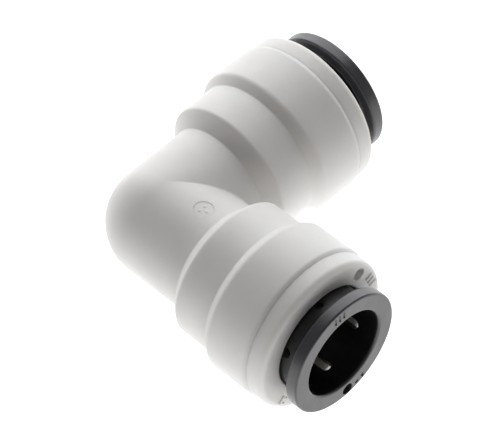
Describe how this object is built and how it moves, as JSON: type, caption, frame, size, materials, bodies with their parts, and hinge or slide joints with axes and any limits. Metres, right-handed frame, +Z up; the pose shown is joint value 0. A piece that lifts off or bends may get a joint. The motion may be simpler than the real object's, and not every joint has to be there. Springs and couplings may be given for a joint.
{
  "type": "push to connect elbow fitting",
  "caption": "Right-angled push to connect fitting with two equal ports for round tube, each with a release collet held by a welded end cap.",
  "frame": {"origin": "under the middle of the bounding box, on the surface that the elbow lies on; the two port axes cross at x = y = -10.375 mm, z = 11.4 mm", "axes": "+X along port A and +Y along port B, each the way its tube leaves; +Z up, square to both ports"},
  "size_m": [0.0436, 0.0436, 0.0228],
  "materials": {
    "white_plastic": "fine moulded satin",
    "grey_plastic": "fine moulded satin",
    "natural_plastic": "moulded satin",
    "seal_rubber": "moulded, lightly greased",
    "stainless_steel": "rolled strip"
  },
  "bodies": {
    "fitting_body": {"elbow_body": "white_plastic", "end_cap_a": "white_plastic", "end_cap_b": "white_plastic", "o_ring_a": "seal_rubber", "o_ring_b": "seal_rubber"},
    "washer_a": {"spacer_washer_a": "natural_plastic"},
    "collet_a": {"collet_a": "grey_plastic"},
    "tooth_a_1": {"tooth_a_1": "stainless_steel"},
    "tooth_a_2": {"tooth_a_2": "stainless_steel"},
    "tooth_a_3": {"tooth_a_3": "stainless_steel"},
    "tooth_a_4": {"tooth_a_4": "stainless_steel"},
    "tooth_a_5": {"tooth_a_5": "stainless_steel"},
    "tooth_a_6": {"tooth_a_6": "stainless_steel"},
    "washer_b": {"spacer_washer_b": "natural_plastic"},
    "collet_b": {"collet_b": "grey_plastic"},
    "tooth_b_1": {"tooth_b_1": "stainless_steel"},
    "tooth_b_2": {"tooth_b_2": "stainless_steel"},
    "tooth_b_3": {"tooth_b_3": "stainless_steel"},
    "tooth_b_4": {"tooth_b_4": "stainless_steel"},
    "tooth_b_5": {"tooth_b_5": "stainless_steel"},
    "tooth_b_6": {"tooth_b_6": "stainless_steel"}
  },
  "joints": [
    {"name": "collet_a_spin", "type": "hinge", "parent": "fitting_body", "child": "washer_a", "pos_m": [0.01767, -0.01038, 0.0114], "axis": [1, 0, 0], "continuous": true},
    {"name": "collet_a_slide", "type": "slide", "parent": "washer_a", "child": "collet_a", "axis": [-1, 0, 0], "range_m": [0, 0.0022]},
    {"name": "tooth_a_1_swing", "type": "hinge", "parent": "collet_a", "child": "tooth_a_1", "pos_m": [0.01183, -0.00715, 0.01832], "axis": [0, 0.9063, -0.4226], "range_deg": [0, 22.5]},
    {"name": "tooth_a_2_swing", "type": "hinge", "parent": "collet_a", "child": "tooth_a_2", "pos_m": [0.01183, -0.01476, 0.01766], "axis": [0, 0.8192, 0.5736], "range_deg": [0, 22.5]},
    {"name": "tooth_a_3_swing", "type": "hinge", "parent": "collet_a", "child": "tooth_a_3", "pos_m": [0.01183, -0.01798, 0.01073], "axis": [0, -0.0872, 0.9962], "range_deg": [0, 22.5]},
    {"name": "tooth_a_4_swing", "type": "hinge", "parent": "collet_a", "child": "tooth_a_4", "pos_m": [0.01183, -0.0136, 0.00448], "axis": [0, -0.9063, 0.4226], "range_deg": [0, 22.5]},
    {"name": "tooth_a_5_swing", "type": "hinge", "parent": "collet_a", "child": "tooth_a_5", "pos_m": [0.01183, -0.00599, 0.00514], "axis": [0, -0.8192, -0.5736], "range_deg": [0, 22.5]},
    {"name": "tooth_a_6_swing", "type": "hinge", "parent": "collet_a", "child": "tooth_a_6", "pos_m": [0.01183, -0.00277, 0.01207], "axis": [0, 0.0872, -0.9962], "range_deg": [0, 22.5]},
    {"name": "collet_b_spin", "type": "hinge", "parent": "fitting_body", "child": "washer_b", "pos_m": [-0.01038, 0.01767, 0.0114], "axis": [0, 1, 0], "continuous": true},
    {"name": "collet_b_slide", "type": "slide", "parent": "washer_b", "child": "collet_b", "axis": [0, -1, 0], "range_m": [0, 0.0022]},
    {"name": "tooth_b_1_swing", "type": "hinge", "parent": "collet_b", "child": "tooth_b_1", "pos_m": [-0.0136, 0.01183, 0.01832], "axis": [-0.9063, 0, -0.4226], "range_deg": [0, 22.5]},
    {"name": "tooth_b_2_swing", "type": "hinge", "parent": "collet_b", "child": "tooth_b_2", "pos_m": [-0.00599, 0.01183, 0.01766], "axis": [-0.8192, 0, 0.5736], "range_deg": [0, 22.5]},
    {"name": "tooth_b_3_swing", "type": "hinge", "parent": "collet_b", "child": "tooth_b_3", "pos_m": [-0.00277, 0.01183, 0.01073], "axis": [0.0872, 0, 0.9962], "range_deg": [0, 22.5]},
    {"name": "tooth_b_4_swing", "type": "hinge", "parent": "collet_b", "child": "tooth_b_4", "pos_m": [-0.00715, 0.01183, 0.00448], "axis": [0.9063, 0, 0.4226], "range_deg": [0, 22.5]},
    {"name": "tooth_b_5_swing", "type": "hinge", "parent": "collet_b", "child": "tooth_b_5", "pos_m": [-0.01476, 0.01183, 0.00514], "axis": [0.8192, 0, -0.5736], "range_deg": [0, 22.5]},
    {"name": "tooth_b_6_swing", "type": "hinge", "parent": "collet_b", "child": "tooth_b_6", "pos_m": [-0.01798, 0.01183, 0.01207], "axis": [-0.0872, 0, -0.9962], "range_deg": [0, 22.5]}
  ],
  "couplings": [
    {"joint": "tooth_a_1_swing", "follows": "collet_a_slide", "rad_per_m": 174.53},
    {"joint": "tooth_a_2_swing", "follows": "collet_a_slide", "rad_per_m": 174.53},
    {"joint": "tooth_a_3_swing", "follows": "collet_a_slide", "rad_per_m": 174.53},
    {"joint": "tooth_a_4_swing", "follows": "collet_a_slide", "rad_per_m": 174.53},
    {"joint": "tooth_a_5_swing", "follows": "collet_a_slide", "rad_per_m": 174.53},
    {"joint": "tooth_a_6_swing", "follows": "collet_a_slide", "rad_per_m": 174.53},
    {"joint": "tooth_b_1_swing", "follows": "collet_b_slide", "rad_per_m": 174.53},
    {"joint": "tooth_b_2_swing", "follows": "collet_b_slide", "rad_per_m": 174.53},
    {"joint": "tooth_b_3_swing", "follows": "collet_b_slide", "rad_per_m": 174.53},
    {"joint": "tooth_b_4_swing", "follows": "collet_b_slide", "rad_per_m": 174.53},
    {"joint": "tooth_b_5_swing", "follows": "collet_b_slide", "rad_per_m": 174.53},
    {"joint": "tooth_b_6_swing", "follows": "collet_b_slide", "rad_per_m": 174.53}
  ]
}
